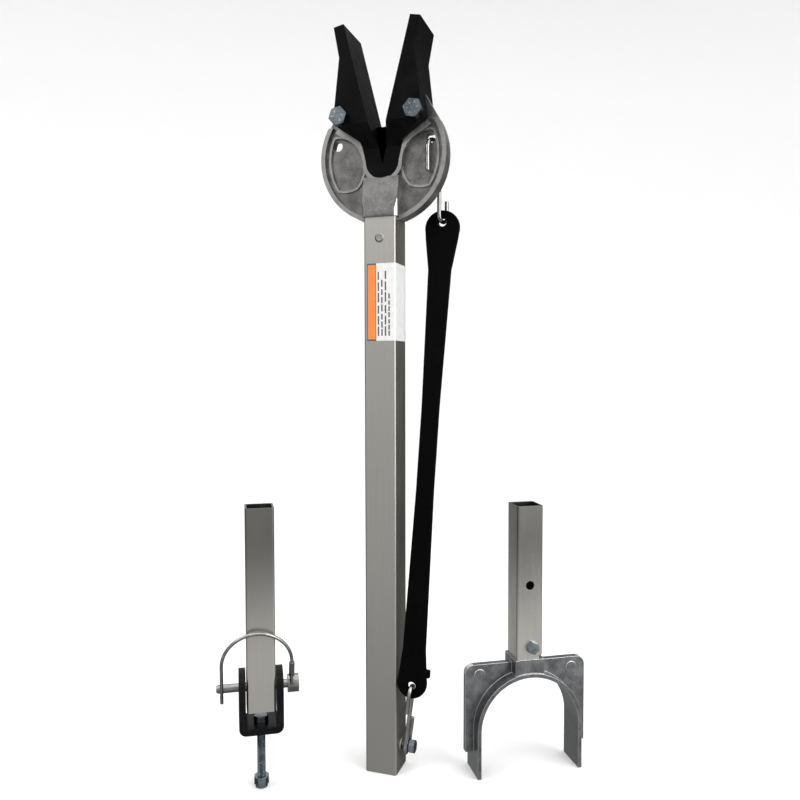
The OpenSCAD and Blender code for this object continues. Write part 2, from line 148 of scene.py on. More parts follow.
class BarStudio(PropertyGroup):
    """Camera, floor and lights"""

    lens: FloatProperty(name="Lens", description="Focal length of the camera",
                        default=34.563, min=20, max=200)
    place: FloatVectorProperty(name="Camera place", description="Where the camera stands",
                               default=(0.29915, -0.84660, 0.47469), size=3,
                               subtype="TRANSLATION", unit="LENGTH")
    turn: FloatProperty(name="Turn", description="How far round the object the camera has walked",
                        default=math.radians(18.37), subtype="ANGLE", unit="ROTATION")
    dip: FloatProperty(name="Dip", description="How far the camera looks down",
                       default=math.radians(2.439), subtype="ANGLE", unit="ROTATION")
    roll: FloatProperty(name="Roll", description="How far the camera is rolled",
                        default=math.radians(-0.108), subtype="ANGLE", unit="ROTATION")
    room: FloatProperty(name="Room", description="Radius of the round backdrop", default=4.2, min=2, max=10,
                        subtype="DISTANCE", unit="LENGTH")
    top: FloatProperty(name="Top light", description="Power of the large light overhead",
                       default=60, min=0, max=1000)
    key: FloatProperty(name="Key light", description="Power of the light at the front left",
                       default=16, min=0, max=500)
    side: FloatProperty(name="Side light", description="Power of the strip at the front right",
                        default=36, min=0, max=500)
    sky: FloatProperty(name="Sky", description="Strength of the light from all round",
                       default=0.8, min=0, max=5)


SETTINGS = {"bar_edges": BarEdges, "bar_hardware": BarHardware,
            "bar_colours": BarColours, "bar_studio": BarStudio}


# ---- finishes ----

class Finish:
    """A node material on object coordinates, built up one layer at a time"""

    def __init__(self, name, metallic, roughness, specular=0.5):
        self.material = bpy.data.materials.new(name)
        self.material.use_nodes = True
        self.tree = self.material.node_tree
        self.shader = self.tree.nodes["Principled BSDF"]
        self.shader.inputs["Metallic"].default_value = metallic
        self.shader.inputs["Roughness"].default_value = roughness
        self.shader.inputs["Specular IOR Level"].default_value = specular
        self.place = self.add("ShaderNodeTexCoord").outputs["Object"]
        self.height = None

    def add(self, kind, **values):
        node = self.tree.nodes.new(kind)
        for key, value in values.items():
            setattr(node, key, value)
        return node

    def join(self, source, target):
        self.tree.links.new(source, target)

    def stretched(self, scale):
        mapping = self.add("ShaderNodeMapping")
        mapping.inputs["Scale"].default_value = scale
        self.join(self.place, mapping.inputs["Vector"])
        return mapping.outputs["Vector"]

    def noise(self, scale, detail=4.0, rough=0.55, stretch=(1, 1, 1)):
        texture = self.add("ShaderNodeTexNoise")
        texture.inputs["Scale"].default_value = scale
        texture.inputs["Detail"].default_value = detail
        texture.inputs["Roughness"].default_value = rough
        self.join(self.stretched(stretch), texture.inputs["Vector"])
        return texture.outputs["Fac"]

    def span(self, source, low, high, to_low, to_high):
        level = self.add("ShaderNodeMapRange", interpolation_type="SMOOTHSTEP")
        for key, value in (("From Min", low), ("From Max", high), ("To Min", to_low), ("To Max", to_high)):
            level.inputs[key].default_value = value
        self.join(source, level.inputs["Value"])
        return level.outputs["Result"]

    def blend_colours(self, factor, one, two):
        mix = self.add("ShaderNodeMix", data_type="RGBA")
        self.join(factor, mix.inputs["Factor"])
        for socket, value in ((mix.inputs["A"], one), (mix.inputs["B"], two)):
            if hasattr(value, "is_linked"):
                self.join(value, socket)
            else:
                socket.default_value = (*value, 1)
        return mix.outputs["Result"]

    def colour(self, value):
        if hasattr(value, "is_linked"):
            self.join(value, self.shader.inputs["Base Color"])
        else:
            self.shader.inputs["Base Color"].default_value = (*value, 1)

    def roughness(self, source):
        self.join(source, self.shader.inputs["Roughness"])

    def bump(self, source, depth, strength=1.0):
        bump = self.add("ShaderNodeBump")
        bump.inputs["Distance"].default_value = depth
        bump.inputs["Strength"].default_value = strength
        self.join(source, bump.inputs["Height"])
        if self.height is not None:
            self.join(self.height, bump.inputs["Normal"])
        self.height = bump.outputs["Normal"]
        self.join(self.height, self.shader.inputs["Normal"])


def shade(colour, factor):
    return tuple(min(1.0, c * factor) for c in colour)


def extruded_aluminium(name, colour, roughness, painted_shade_from, painted_shade_to, painted_shade_level):
    """Mill finish tube: fine lines along its length, faint handling marks, and painted shade that darkens it
    towards one end
    """
    made = Finish(name, 1.0, roughness)
    lines = made.noise(900, 3, 0.6, (1, 1, 0.012))
    smears = made.noise(16, 4, 0.6, (1, 1, 0.35))
    base = made.blend_colours(made.span(lines, 0.3, 0.7, 0, 1), shade(colour, 0.95), shade(colour, 1.03))
    base = made.blend_colours(made.span(smears, 0.35, 0.75, 0, 0.35), base, shade(colour, 0.84))
    height = made.add("ShaderNodeSeparateXYZ")
    made.join(made.place, height.inputs["Vector"])
    # painted shade: the colour darkens along the height, from one given level to the other
    painted_shade_mask = made.span(height.outputs["Z"], painted_shade_from, painted_shade_to, 0, 1)
    base = made.blend_colours(painted_shade_mask, base, shade(colour, painted_shade_level))
    made.colour(base)
    made.roughness(made.span(smears, 0.3, 0.8, roughness - 0.05, roughness + 0.12))
    made.bump(lines, 0.00003, 0.2)
    made.bump(made.noise(45, 3), 0.00012, 0.25)
    return made.material


def cast_metal(name, colour, roughness, grain=0.00022, mottle=0.6):
    """Skin of a die casting: mottled flow marks, fine grain and a few dark pits"""
    made = Finish(name, 1.0, roughness)
    flow = made.noise(70, 8, 0.72)
    fine = made.noise(420, 4, 0.7)
    pits = made.add("ShaderNodeTexVoronoi")
    pits.inputs["Scale"].default_value = 260
    made.join(made.place, pits.inputs["Vector"])
    base = made.blend_colours(made.span(flow, 0.32, 0.68, 0, 1), shade(colour, 1 - 0.45 * mottle),
                              shade(colour, 1 + 0.22 * mottle))
    base = made.blend_colours(made.span(fine, 0.45, 0.8, 0, 0.4), base, shade(colour, 0.55))
    in_pits = made.span(pits.outputs["Distance"], 0.0, 0.12, 0.7, 0)
    base = made.blend_colours(in_pits, base, shade(colour, 0.3))
    made.colour(base)
    made.roughness(made.span(flow, 0.3, 0.7, roughness - 0.07, roughness + 0.12))
    made.bump(fine, grain, 0.6)
    made.bump(flow, 0.0006, 0.35)
    return made.material


def edge_highlight_metal(name, colour, roughness):
    """Edge of a casting: bright colour as a painted highlight along the edge, with short sanding scratches"""
    made = Finish(name, 1.0, roughness)
    scratches = made.noise(700, 3, 0.6, (0.12, 1, 1))
    patches = made.noise(60, 4, 0.6)
    base = made.blend_colours(made.span(scratches, 0.3, 0.7, 0, 1), shade(colour, 0.82), shade(colour, 1.12))
    base = made.blend_colours(made.span(patches, 0.45, 0.75, 0, 0.5), base, shade(colour, 0.6))
    made.colour(base)
    made.roughness(made.span(patches, 0.3, 0.7, roughness - 0.05, roughness + 0.15))
    made.bump(scratches, 0.00005, 0.5)
    return made.material


def moulded_rubber(name, colour, roughness, dust):
    """Moulded black rubber: satin skin, faint bloom and a fine grain"""
    made = Finish(name, 0.0, roughness, 0.04)
    bloom = made.noise(26, 5, 0.6)
    grain = made.noise(1500, 2, 0.6)
    base = made.blend_colours(made.span(bloom, 0.4, 0.8, 0, 1), colour, tuple(c + dust for c in colour))
    made.colour(base)
    made.roughness(made.span(bloom, 0.3, 0.75, roughness - 0.06, roughness + 0.14))
    made.bump(grain, 0.00006, 0.45)
    made.bump(bloom, 0.0004, 0.3)
    return made.material


def plated_steel(name, colour, roughness, lines=(1, 1, 1)):
    """Zinc plated steel: cloudy reflections, tiny dull spots, drawing lines on wire"""
    made = Finish(name, 1.0, roughness)
    cloud = made.noise(120, 5, 0.6)
    spots = made.noise(900, 3, 0.65, lines)
    base = made.blend_colours(made.span(cloud, 0.3, 0.7, 0, 1), shade(colour, 0.80), shade(colour, 1.12))
    base = made.blend_colours(made.span(spots, 0.52, 0.75, 0, 0.35), base, shade(colour, 0.5))
    made.colour(base)
    made.roughness(made.span(cloud, 0.3, 0.7, roughness - 0.06, roughness + 0.14))
    made.bump(spots, 0.00002, 0.25)
    return made.material


def gloss_paint(name, colour):
    """Gloss black powder coat with a little orange peel"""
    made = Finish(name, 0.0, 0.22, 0.08)
    peel = made.noise(260, 3, 0.5)
    wear = made.noise(50, 4, 0.6)
    made.colour(made.blend_colours(made.span(wear, 0.45, 0.8, 0, 1), colour, tuple(c * 2.2 for c in colour)))
    made.roughness(made.span(wear, 0.3, 0.8, 0.18, 0.36))
    made.bump(peel, 0.0002, 0.3)
    made.shader.inputs["Coat Weight"].default_value = 0.06
    made.shader.inputs["Coat Roughness"].default_value = 0.12
    return made.material


def plain_plastic(name, colour, roughness):
    """Nylon or label film: nearly even, with faint clouding"""
    made = Finish(name, 0.0, roughness)
    cloud = made.noise(140, 3)
    clouding = made.span(cloud, 0.35, 0.7, 0, 1)
    made.colour(made.blend_colours(clouding, shade(colour, 0.94), shade(colour, 1.03)))
    made.bump(made.noise(600, 2), 0.00003, 0.3)
    return made.material


def backdrop_paint(name, colour):
    """Matt pale floor and wall"""
    made = Finish(name, 0.0, 0.85, 0.2)
    made.colour(made.blend_colours(made.noise(3, 2), shade(colour, 0.995), colour))
    return made.material


_finishes = {}


def finish_named(name):
    """Makes each finish the first time that a piece asks for it"""
    if name not in _finishes:
        tone = bpy.context.scene.bar_colours
        makers = {
            # both tubes carry painted shade: the bar's tube darkens towards its foot, the fittings' tubes
            # towards their upper ends
            "tube": lambda: extruded_aluminium(
                name, tuple(tone.aluminium), 0.40, painted_shade_from=0.34, painted_shade_to=0.02, painted_shade_level=0.86),
            "fitting_tube": lambda: extruded_aluminium(
                name, shade(tone.aluminium, 1.30), 0.28, painted_shade_from=0.14, painted_shade_to=0.29, painted_shade_level=0.30),
            "casting": lambda: cast_metal(name, tuple(tone.casting), 0.46),
            # the cast skin at 0.56 of its colour: painted shade on the head's web and the block's front
            "casting_painted_shade": lambda: cast_metal(name, shade(tone.casting, 0.56), 0.40, 0.0006, 1.0),
            # the head's bright edge finish is the cast skin at 2.6 times its colour: a painted highlight,
            # with sanding scratches
            "casting_painted_highlight": lambda: edge_highlight_metal(name, shade(tone.casting, 2.6), 0.24),
            "dark_casting": lambda: cast_metal(name, tuple(tone.yoke), 0.34, 0.00018, 0.8),
            # the yoke's bright edge finish is its dark skin at 3.4 times its colour: a painted highlight
            "dark_casting_painted_highlight": lambda: edge_highlight_metal(name, shade(tone.yoke, 3.4), 0.24),
            "block_rubber": lambda: moulded_rubber(name, tuple(tone.rubber), 0.34, 0.003),
            "strap_rubber": lambda: moulded_rubber(name, shade(tone.rubber, 0.4), 0.5, 0.0006),
            "jaw_zinc": lambda: plated_steel(name, tuple(tone.zinc), 0.22),
            # the zinc colour brightened 2.1 times: painted light for the bolts and nuts other than the jaw
            # bolts
            "bolt_zinc": lambda: plated_steel(name, shade(tone.zinc, 2.1), 0.2),
            "wire_zinc": lambda: plated_steel(name, (0.38, 0.38, 0.375), 0.16, (1, 1, 0.3)),
            "pin_steel": lambda: plated_steel(name, (0.27, 0.27, 0.265), 0.16, (1, 1, 0.3)),
            "brass_plate": lambda: plated_steel(name, (0.60, 0.56, 0.44), 0.32),
            "black_paint": lambda: gloss_paint(name, (0.003, 0.003, 0.0035)),
            "nylon": lambda: plain_plastic(name, (0.72, 0.75, 0.80), 0.45),
            "label_film": lambda: plain_plastic(name, (0.64, 0.64, 0.63), 0.35),
            "label_band": lambda: plain_plastic(name, tuple(tone.band), 0.38),
            "label_ink": lambda: plain_plastic(name, (0.07, 0.07, 0.075), 0.40),
            "floor": lambda: backdrop_paint(name, (0.86, 0.86, 0.86)),
        }
        _finishes[name] = makers[name]()
    return _finishes[name]


# ---- making meshes ----

def merged(node):
    """A clean copy of a frame part: vertices merged and flat faces joined up"""
    bm = bmesh.new()
    bm.from_mesh(NODES[node].data)
    bmesh.ops.remove_doubles(bm, verts=bm.verts, dist=0.004 * MM)
    bmesh.ops.dissolve_limit(bm, angle_limit=math.radians(0.6), verts=bm.verts, edges=bm.edges,
                             delimit={"NORMAL"})
    bmesh.ops.recalc_face_normals(bm, faces=bm.faces)
    return bm


def sharp_edges(bm, degrees, keep=lambda edge: True):
    limit = math.radians(degrees)
    return [e for e in bm.edges if len(e.link_faces) == 2 and e.calc_face_angle(0) > limit and keep(e)]


def round_over(bm, width, segments=2, degrees=32, keep=lambda edge: True):
    edges = sharp_edges(bm, degrees, keep)
    if width > 0 and edges:
        bmesh.ops.bevel(bm, geom=edges, offset=width, offset_type="OFFSET", affect="EDGES", segments=segments,
                        profile=0.5, material=-1, clamp_overlap=True, harden_normals=False)


def whole(bm):
    return bm.verts[:] + bm.edges[:] + bm.faces[:]


def cut_off(bm, point, normal):
    """Cuts away what lies beyond a plane and closes the cut"""
    cut = bmesh.ops.bisect_plane(bm, geom=whole(bm), plane_co=point, plane_no=normal, dist=1e-7,
                                 clear_outer=True)
    edges = [g for g in cut["geom_cut"] if isinstance(g, bmesh.types.BMEdge) and g.is_valid]
    if edges:
        bmesh.ops.holes_fill(bm, edges=edges, sides=0)


def chamfer_corners(bm, face, axis, flats, steps=24):
    """Takes the corners off the end of a hexagon, as a turned chamfer does"""
    axis = axis.normalized()
    across = axis.orthogonal().normalized()
    for i in range(steps):
        way = Matrix.Rotation(2 * math.pi * i / steps, 3, axis) @ across
        cut_off(bm, face + way * flats * 0.475, way * 0.5 + axis * 0.866)


def threaded_rod(bm, start, end, radius, pitch, steps, chamfer=0.7 * MM):
    """Spins a rod with a thread's profile from start to end"""
    axis = (end - start).normalized()
    out = axis.orthogonal().normalized()
    length = (end - start).length
    depth, crest = 0.61 * pitch, 0.07 * pitch
    points = [(0.0, 0.0), (radius - depth, 0.0)]
    along = pitch / 2
    while along + pitch / 2 < length - chamfer:
        points += [(radius, along - crest), (radius, along + crest), (radius - depth, along + pitch / 2)]
        along += pitch
    points += [(radius - depth, length - chamfer), (radius - depth - chamfer / 2, length), (0.0, length)]
    verts = [bm.verts.new(start + out * r + axis * z) for r, z in points]
    edges = [bm.edges.new(pair) for pair in zip(verts, verts[1:])]
    bmesh.ops.spin(bm, geom=verts + edges, cent=start, axis=axis, angle=2 * math.pi, steps=steps,
                   use_merge=True)
    bmesh.ops.remove_doubles(bm, verts=[v for v in bm.verts if v.is_valid], dist=1e-6)


def fan_normals(bm):
    """A normal for each face corner, in which the larger faces count for more, so that flats stay flat"""
    normals = {}
    for vert in bm.verts:
        left = set(vert.link_faces)
        while left:
            fan, queue = set(), [left.pop()]
            while queue:
                face = queue.pop()
                fan.add(face)
                for edge in face.edges:
                    if vert in edge.verts and edge.smooth:
                        for other in edge.link_faces:
                            if other in left:
                                left.discard(other)
                                queue.append(other)
            total = sum((face.normal * face.calc_area() for face in fan), Vector())
            for face in fan:
                normals[face, vert] = total.normalized() if total.length > 0 else face.normal
    return [normals[face, loop.vert] for face in bm.faces for loop in face.loops]


def finished(bm, name, materials, degrees=32):
    """Turns the mesh into an object with crisp corners and smooth rounds"""
    bmesh.ops.recalc_face_normals(bm, faces=bm.faces)
    limit = math.radians(degrees)
    for face in bm.faces:
        face.smooth = True
    for edge in bm.edges:
        edge.smooth = edge.calc_face_angle(math.pi) < limit if len(edge.link_faces) == 2 else False
    normals = fan_normals(bm)
    mesh = bpy.data.meshes.new(name)
    bm.to_mesh(mesh)
    bm.free()
    mesh.normals_split_custom_set(normals)
    for material in materials:
        mesh.materials.append(finish_named(material))
    piece = bpy.data.objects.new(name, mesh)
    bpy.context.scene.collection.objects.link(piece)
    return piece


def stands_for(piece, node):
    """The piece takes a frame part's place and rides where that part rides"""
    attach(piece, BODY_OF[node])
    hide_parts(node)
    return piece


def rounded_piece(node, name, materials, width, segments=2, degrees=32, keep=lambda edge: True):
    bm = merged(node)
    round_over(bm, width, segments, degrees, keep)
    return stands_for(finished(bm, name, materials), node)


def separate_solids(bm):
    """Lists of vertices, one for each loose solid of a mesh"""
    left, groups = set(bm.verts), []
    while left:
        group, queue = set(), [left.pop()]
        while queue:
            vert = queue.pop()
            group.add(vert)
            for edge in vert.link_edges:
                other = edge.other_vert(vert)
                if other in left:
                    left.discard(other)
                    queue.append(other)
        groups.append(group)
    return groups


def solid_boxes(node):
    """Lowest and highest corners of each solid in a frame part"""
    bm = merged(node)
    boxes = []
    for group in separate_solids(bm):
        corners = [[pick(v.co[i] for v in group) for i in range(3)] for pick in (min, max)]
        boxes.append((Vector(corners[0]), Vector(corners[1])))
    bm.free()
    return sorted(boxes, key=lambda box: box[0].x)


def need(condition, message):
    if not condition:
        raise RuntimeError(message)


# ---- the bar ----

class OBJECT_OT_bar_tube(Operator):
    """Makes the bar's square outer tube, with its sawn ends eased"""

    bl_idname = "object.bar_tube"
    bl_label = "Outer Tube"

    def execute(self, context):
        width = context.scene.bar_edges.tube
        tube = rounded_piece("outer_tube", "bar_outer_tube", ["tube"], width)
        need(len(tube.data.polygons) > 20, "the outer tube came out empty")
        return {"FINISHED"}


class OBJECT_OT_bar_head(Operator):
    """Makes the cast head: rounded edges, a painted highlight on the rounded rim edges and the block's corner
    flats, and painted shade on the web and the block's front
    """

    bl_idname = "object.bar_head"
    bl_label = "Head Casting"

    def execute(self, context):
        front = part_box("head_casting")[0].y
        bm = merged("head_casting")
        corner = [e for e in sharp_edges(bm, 30)
                  if all(v.co.y < front + 0.3 * MM and v.co.z < BAR_TOP + HEAD_BLOCK_FOOT for v in e.verts)
                  and abs(e.verts[0].co.x - e.verts[1].co.x) < 0.1 * MM
                  and abs(e.verts[0].co.z - e.verts[1].co.z) > 4 * MM]
        need(corner, "the head's block has no upright front corners")
        flats = bmesh.ops.bevel(bm, geom=corner, offset=2.6 * MM, offset_type="OFFSET", affect="EDGES",
                                segments=1, profile=0.5, material=-1, clamp_overlap=True)
        # the block's corner flats take the painted highlight
        for face in flats["faces"]:
            face.material_index = 1
        before = set(bm.faces)
        round_over(bm, context.scene.bar_edges.head, 3, 30)
        for face in bm.faces:
            at, out = face.calc_center_median(), face.normal
            if at.z < BAR_TOP + 2 * MM or face.material_index == 1:
                continue
            # rounded faces away from the middle take the painted highlight; the web and the block's front
            # take the painted shade
            on_web = abs(out.y) > 0.9 and abs(at.y) < HEAD_WEB_HALF
            on_block = abs(out.y) > 0.8 and abs(at.x) < HEAD_BLOCK_HALF
            if face not in before and 0.15 < abs(out.y) < 0.985 and abs(at.x) > HEAD_HIGHLIGHT_FROM:
                face.material_index = 1
            elif on_web or on_block:
                face.material_index = 2
        # cast skin, painted highlight, painted shade
        skins = ["casting", "casting_painted_highlight", "casting_painted_shade"]
        stands_for(finished(bm, "bar_head_casting", skins), "head_casting")
        return {"FINISHED"}


class OBJECT_OT_bar_rivet(Operator):
    """Makes the rivet that holds the head in the tube, with a dimple in its middle"""

    bl_idname = "object.bar_rivet"
    bl_label = "Head Rivet"

    def execute(self, context):
        low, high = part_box("head_rivet")
        bm = merged("head_rivet")
        front = [f for f in bm.faces
                 if f.normal.y < -0.95 and abs(f.calc_center_median().y - low.y) < 0.05 * MM]
        need(front, "the rivet has no front face")
        inset = bmesh.ops.inset_region(bm, faces=front, thickness=(high.x - low.x) * 0.14, depth=0)
        need(inset["faces"], "the rivet's dimple could not be started")
        bmesh.ops.translate(bm, verts=list({v for f in front for v in f.verts}), vec=(0, 0.5 * MM, 0))
        round_over(bm, 0.2 * MM, 2)
        stands_for(finished(bm, "bar_head_rivet", ["casting"]), "head_rivet")
        return {"FINISHED"}


class OBJECT_OT_bar_v_block(Operator):
    """Makes the moulded rubber V block with soft edges"""

    bl_idname = "object.bar_v_block"
    bl_label = "Rubber V Block"

    def execute(self, context):
        bm = merged("v_block")
        round_over(bm, context.scene.bar_edges.rubber, 3, 24)
        stands_for(finished(bm, "bar_v_block", ["block_rubber"], 26), "v_block")
        return {"FINISHED"}


def split_row(start, end, count):
    """Ends of the plain bars that stand in for one printed row"""
    step = (end - start) / count
    return [(start + step * i, start + step * (i + 0.86 - 0.07 * (i % 3))) for i in range(count)]


class OBJECT_OT_bar_label(Operator):
    """Makes the label on the tube: a plain film with a coloured band and rows of plain bars"""

    bl_idname = "object.bar_label"
    bl_label = "Label"

    def execute(self, context):
        film = stands_for(finished(merged("label"), "bar_label", ["label_film"]), "label")
        low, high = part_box("label")
        front = low.y - 0.04 * MM
        wide, tall = high.x - low.x - 2.4 * MM, high.z - low.z
        rows = [(0.40 + 0.135 * i, 0.455 + 0.135 * i, 0.06, top)
                for i, top in enumerate((0.93, 0.80, 0.94, 0.62))]
        words = [(left, right, bottom + 0.002, top) for left, right, low_end, high_end in rows
                 for bottom, top in split_row(low_end, high_end, 5 + round(left * 10) % 3)]
        print_parts = (
            ("bar_label_band", "label_band", [(0.03, 0.32, 0.02, 0.98)]),
            ("bar_label_frame", "label_ink", [(0.0, 0.03, 0.0, 1.0), (0.32, 0.345, 0.0, 1.0),
                                              (0.03, 0.32, 0.0, 0.02), (0.03, 0.32, 0.98, 1.0)]),
            ("bar_label_print", "label_ink", words),
        )
        for name, material, bars in print_parts:
            bm = bmesh.new()
            for left, right, bottom, top in bars:
                size = Vector(((right - left) * wide, 0.03 * MM, (top - bottom) * tall))
                middle = Vector((low.x + (left + right) / 2 * wide, front, low.z + (bottom + top) / 2 * tall))
                shape = Matrix.Translation(middle) @ Matrix.Diagonal((*size, 1))
                bmesh.ops.create_cube(bm, size=1, matrix=shape)
            piece = finished(bm, name, [material])
            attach(piece, BODY_OF["label"])
        need(film.data.polygons, "the label came out empty")
        return {"FINISHED"}


class OBJECT_OT_bar_jaw_bolts(Operator):
    """Makes the two bolts through the jaws, with turned chamfers and threaded ends"""

    bl_idname = "object.bar_jaw_bolts"
    bl_label = "Jaw Bolts"

    def execute(self, context):
        boxes = solid_boxes("jaw_bolts")
        need(len(boxes) == 2, f"expected two jaw bolts and found {len(boxes)}")
        nuts_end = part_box("jaw_nuts")[1].y
        make_bolts("jaw_bolts", "bar_jaw_bolts", boxes, Vector((0, -1, 0)), nuts_end - JAW_THREAD_LENGTH)
        return {"FINISHED"}


class OBJECT_OT_bar_jaw_nuts(Operator):
    """Makes the lock nuts behind the jaws and their nylon rings"""

    bl_idname = "object.bar_jaw_nuts"
    bl_label = "Jaw Nuts"

    def execute(self, context):
        width = context.scene.bar_edges.bolt
        boxes = solid_boxes("jaw_nuts")
        need(len(boxes) == 2, f"expected two jaw nuts and found {len(boxes)}")
        make_nuts("jaw_nuts", "bar_jaw_nuts", boxes, Vector((0, -1, 0)), width)
        rounded_piece("jaw_nut_inserts", "bar_jaw_nut_rings", ["nylon"], 0.2 * MM)
        return {"FINISHED"}


class OBJECT_OT_bar_hooks(Operator):
    """Makes the two S hooks of bent wire, with their cut ends eased"""

    bl_idname = "object.bar_hooks"
    bl_label = "S Hooks"

    def execute(self, context):
        for node, name in (("upper_s_hook", "strap_upper_hook"), ("lower_s_hook", "strap_lower_hook")):
            hook = rounded_piece(node, name, ["wire_zinc"], context.scene.bar_edges.wire, 3, 50)
            need(len(hook.data.polygons) > 60, f"{name} came out empty")
        return {"FINISHED"}


class OBJECT_OT_bar_strap(Operator):
    """Makes the rubber strap that runs between its two hooks, sliced into bands along its height"""

    bl_idname = "object.bar_strap"
    bl_label = "Rubber Strap"

    def execute(self, context):
        bm = merged("strap")
        round_over(bm, context.scene.bar_edges.strap, 3, 35)
        low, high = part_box("strap")
        for i in range(1, STRAP_STEPS):
            level = low.z + (high.z - low.z) * i / STRAP_STEPS
            bmesh.ops.bisect_plane(bm, geom=whole(bm), plane_co=(0, 0, level), plane_no=(0, 0, 1), dist=1e-7)
        strap = finished(bm, "strap_rubber", ["strap_rubber"], 26)
        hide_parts("strap")
        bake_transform(strap)
        return {"FINISHED"}


class OBJECT_OT_bar_set_bolt(Operator):
    """Makes the set bolt at the foot of the bar and its threaded insert"""

    bl_idname = "object.bar_set_bolt"
    bl_label = "Set Bolt"

    def execute(self, context):
        boxes = solid_boxes("set_bolt")
        need(len(boxes) == 1, "the set bolt is not one solid")
        make_bolts("set_bolt", "bar_set_bolt", boxes, Vector((1, 0, 0)), None)
        rounded_piece("set_bolt_insert", "bar_set_bolt_insert", ["brass_plate"], 0.2 * MM)
        return {"FINISHED"}


# ---- bolts and nuts ----

def thread_size(node):
    """Radius and pitch of the bolt in a frame part"""
    sizes = bpy.context.scene.bar_hardware
    if node.startswith("jaw"):
        return JAW_BOLT_RADIUS, sizes.jaw_pitch
    return CLAMP_BOLT_RADIUS, sizes.large_pitch


def grade_marks(bm, middle, way, radius):
    """Six short raised dashes round the top of a bolt's head"""
    across = way.orthogonal().normalized()
    for i in range(6):
        turn = Matrix.Rotation(math.pi / 3 * i + 0.3, 4, way)
        spot = Matrix.Translation(middle) @ turn @ Matrix.Translation(across * radius)
        frame_in = Matrix((across, way.cross(across), way)).transposed().to_4x4()
        size = Matrix.Diagonal((*GRADE_DASH, 1))
        made = bmesh.ops.create_cube(bm, size=1, matrix=spot @ frame_in @ size)
        for face in {f for v in made["verts"] for f in v.link_faces}:
            face.material_index = 1


def make_bolts(node, name, boxes, head_way, thread_from):
    """Chamfers the heads of a frame part's bolts and cuts real threads on their shanks.
    The shank is plain until thread_from along the bolt's axis, or threaded all over if that is None."""
    width = bpy.context.scene.bar_edges.bolt
    steps = bpy.context.scene.bar_hardware.turns
    radius, pitch = thread_size(node)
    axis = max(range(3), key=lambda i: abs(head_way[i]))
    done = bmesh.new()
    source = merged(node)
    for group, (low, high) in zip(sorted_solids(source), boxes):
        bm = copy_of(source, group)
        middle = (low + high) / 2
        head_end, tip = middle.copy(), middle.copy()
        head_end[axis] = high[axis] if head_way[axis] > 0 else low[axis]
        tip[axis] = low[axis] if head_way[axis] > 0 else high[axis]
        across = [i for i in range(3) if i != axis]
        flats = min(high[i] - low[i] for i in across)
        chamfer_corners(bm, head_end, head_way, flats)
        seat = head_end - head_way * HEAD_HEIGHT
        if thread_from is not None:
            seat[axis] = thread_from
        cut_off(bm, seat, -head_way)
        round_over(bm, width, 2, 20)
        threaded_rod(bm, seat + head_way * 0.5 * MM, tip, radius, pitch, steps)
        if node == "jaw_bolts":
            grade_marks(bm, head_end + head_way * 0.1 * MM, head_way, flats * 0.28)
        add_to(done, bm)
    source.free()
    # the jaw bolts keep the plain zinc; the others take the zinc brightened as painted light
    plating = "jaw_zinc" if node == "jaw_bolts" else "bolt_zinc"
    return stands_for(finished(done, name, [plating, "wire_zinc"], 40), node)


def make_nuts(node, name, boxes, seat_way, width):
    """Chamfers the seat side of a frame part's nuts and eases the other edges"""
    axis = max(range(3), key=lambda i: abs(seat_way[i]))
    done = bmesh.new()
    source = merged(node)
    for group, (low, high) in zip(sorted_solids(source), boxes):
        bm = copy_of(source, group)
        seat = (low + high) / 2
        seat[axis] = high[axis] if seat_way[axis] > 0 else low[axis]
        flats = min(high[i] - low[i] for i in range(3) if i != axis)
        chamfer_corners(bm, seat, seat_way, flats)
        round_over(bm, width, 2, 20)
        add_to(done, bm)
    source.free()
    return stands_for(finished(done, name, ["bolt_zinc"], 40), node)


def sorted_solids(bm):
    return sorted(separate_solids(bm), key=lambda group: min(v.co.x for v in group))


def copy_of(source, group):
    """A mesh of its own holding one of the source's solids"""
    bm = source.copy()
    source.verts.index_update()
    keep = {v.index for v in group}
    bm.verts.ensure_lookup_table()
    bmesh.ops.delete(bm, geom=[v for i, v in enumerate(bm.verts) if i not in keep], context="VERTS")
    return bm


def add_to(target, bm):
    """Moves a finished mesh into another"""
    mesh = bpy.data.meshes.new("part")
    bm.to_mesh(mesh)
    bm.free()
    target.from_mesh(mesh)
    bpy.data.meshes.remove(mesh)


# ---- frame bracket fitting ----

class OBJECT_OT_bracket_tube(Operator):
    """Makes the square tube of the frame bracket"""

    bl_idname = "object.bracket_tube"
    bl_label = "Bracket Tube"

    def execute(self, context):
        width = context.scene.bar_edges.tube
        tube = rounded_piece("bracket_tube", "bracket_tube_piece", ["fitting_tube"], width)
        need(tube.data.polygons, "the bracket's tube came out empty")
        return {"FINISHED"}


class OBJECT_OT_frame_bracket(Operator):
    """Makes the bent black bracket with its plate edges eased"""

    bl_idname = "object.frame_bracket"
    bl_label = "Frame Bracket"

    def execute(self, context):
        bracket = rounded_piece("pivot_bracket", "bracket_plate", ["black_paint"],
                                context.scene.bar_edges.plate, 3, 34)
        need(bracket.data.polygons, "the bracket came out empty")
        return {"FINISHED"}


